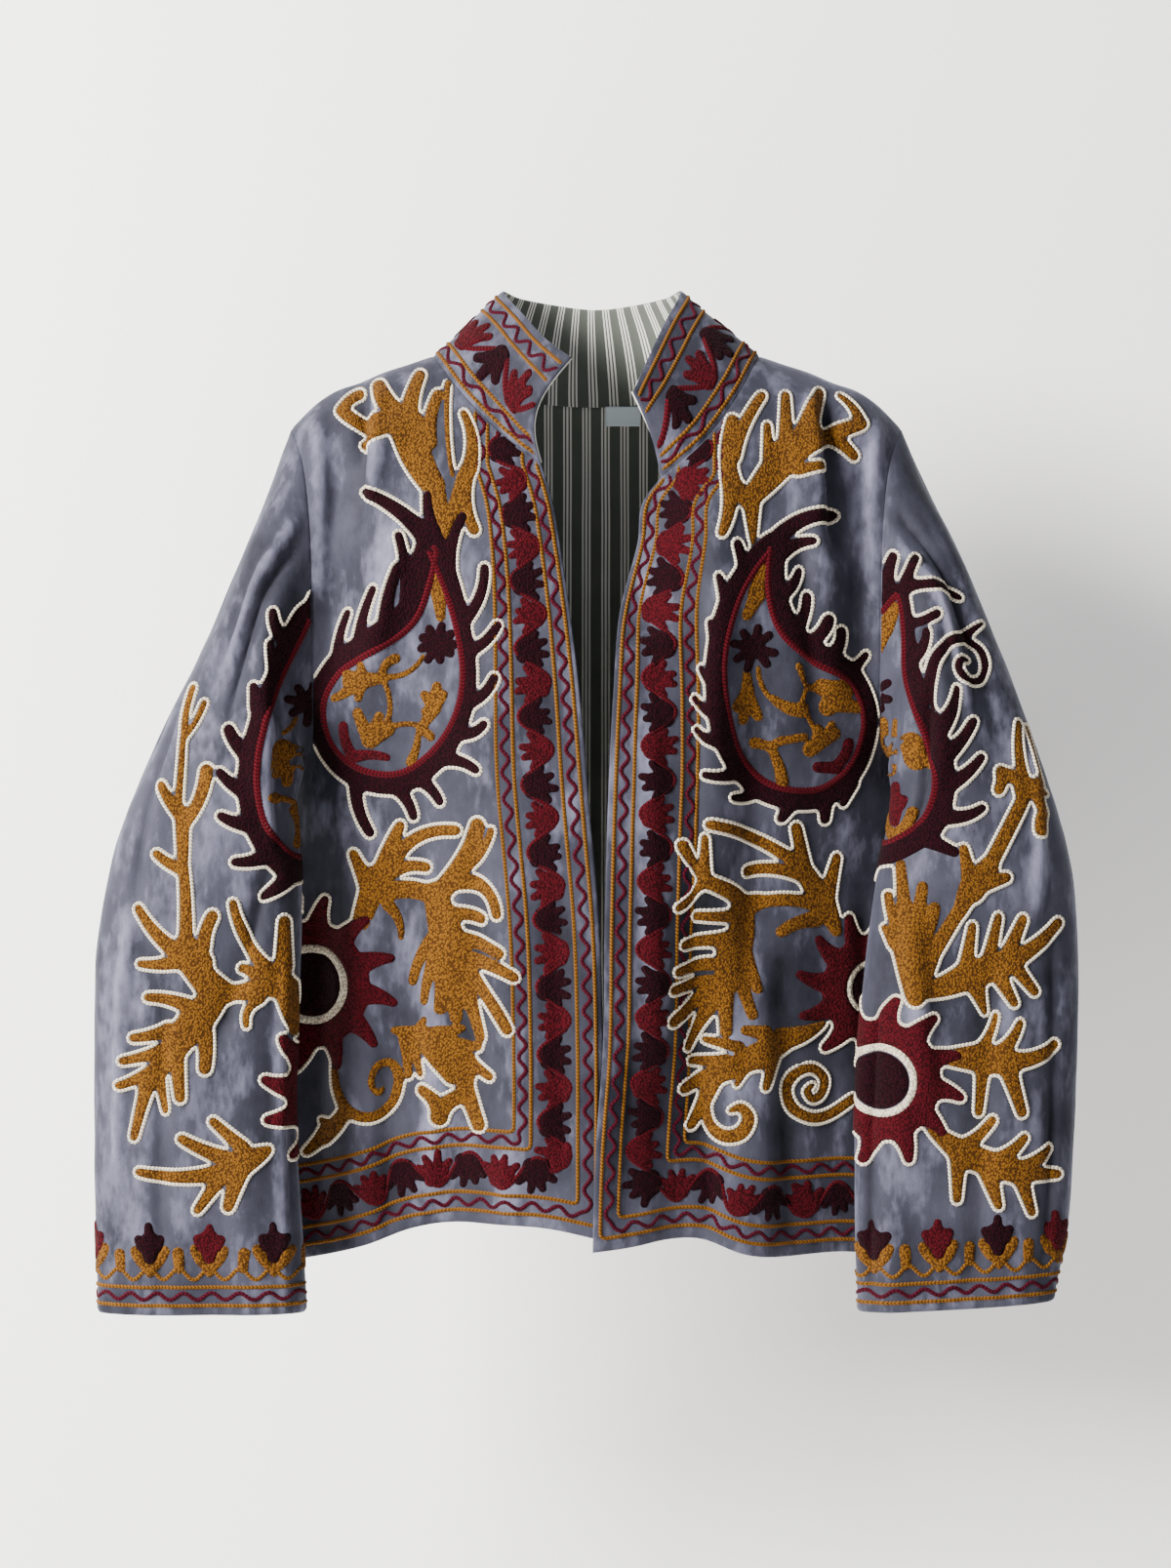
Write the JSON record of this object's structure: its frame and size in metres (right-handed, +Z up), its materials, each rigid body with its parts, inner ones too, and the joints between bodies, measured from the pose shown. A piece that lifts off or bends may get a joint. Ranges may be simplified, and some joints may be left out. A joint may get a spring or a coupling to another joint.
{
  "type": "velvet jacket",
  "caption": "Open-fronted hip-length velvet jacket with a stand collar, wide hanging sleeves, a striped lining and a folk flower and leaf embroidery, filled out as when worn.",
  "frame": {"origin": "middle of the collar's top edge at the back, where the jacket is held up", "axes": "+Z up, the front faces -Y, and +X points to the wearer's left"},
  "size_m": [0.6464, 0.1358, 0.6779],
  "materials": {
    "velvet": "grey-blue cotton velvet, matt with a soft pile sheen",
    "striped_lining": "grey-green cotton with fine cream stripes, matt",
    "label_cloth": "woven satin tape, soft sheen"
  },
  "bodies": {
    "root": {"front_right": "velvet", "front_left": "velvet", "back": "velvet", "sleeve_right": "velvet", "sleeve_left": "velvet", "collar": "velvet", "back_lining": "striped_lining", "collar_lining": "striped_lining", "label": "label_cloth"}
  },
  "joints": []
}
